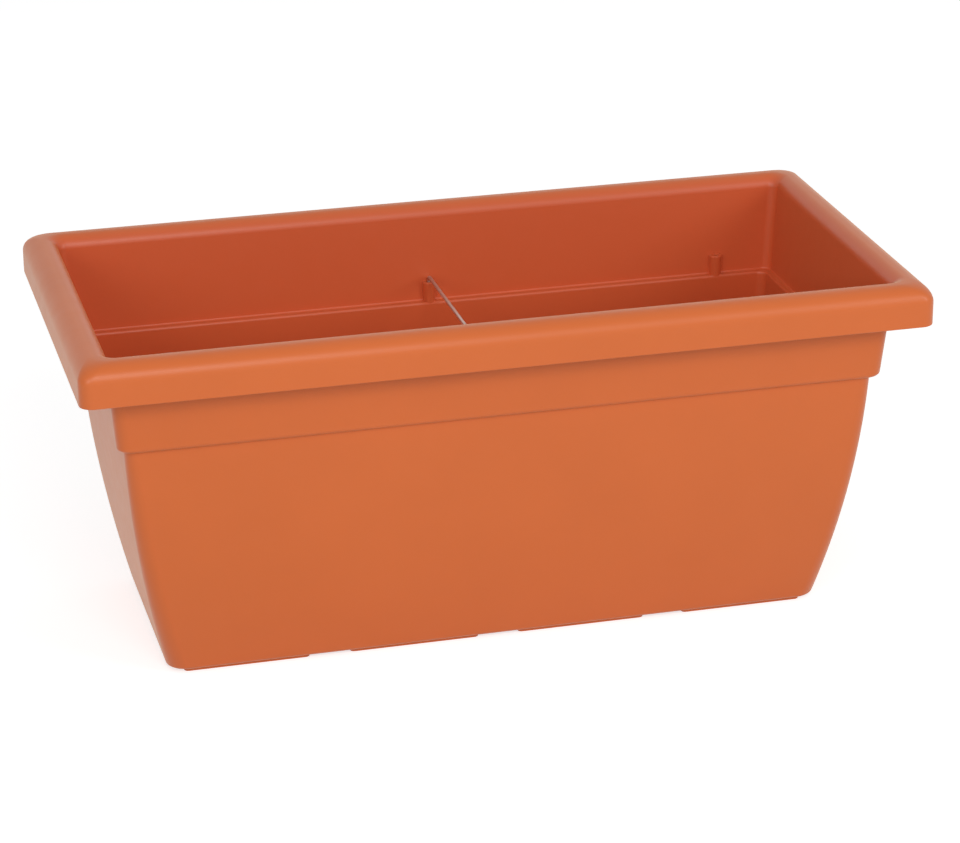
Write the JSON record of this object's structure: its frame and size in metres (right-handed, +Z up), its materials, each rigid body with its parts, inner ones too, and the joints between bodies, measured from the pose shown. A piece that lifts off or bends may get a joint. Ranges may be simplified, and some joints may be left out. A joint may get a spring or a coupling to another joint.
{
  "type": "rectangular plant trough",
  "caption": "Long plastic planter with a rolled rim, a collar, bowed sides, low foot pads and a lift-out tie wire across its middle.",
  "frame": {"origin": "on the ground under the middle of the trough", "axes": "+X along the trough, +Y to its back, +Z up"},
  "size_m": [0.8, 0.394, 0.345],
  "materials": {
    "terracotta_plastic": "satin moulded polypropylene, terracotta orange",
    "galvanised_wire": "dull drawn zinc-coated steel wire"
  },
  "bodies": {
    "trough": {"trough": "terracotta_plastic"},
    "tie_wire": {"tie_wire": "galvanised_wire"}
  },
  "joints": [
    {"name": "wire_lift", "type": "slide", "parent": "trough", "child": "tie_wire", "axis": [0, 0, 1], "range_m": [0, 0.12]}
  ]
}
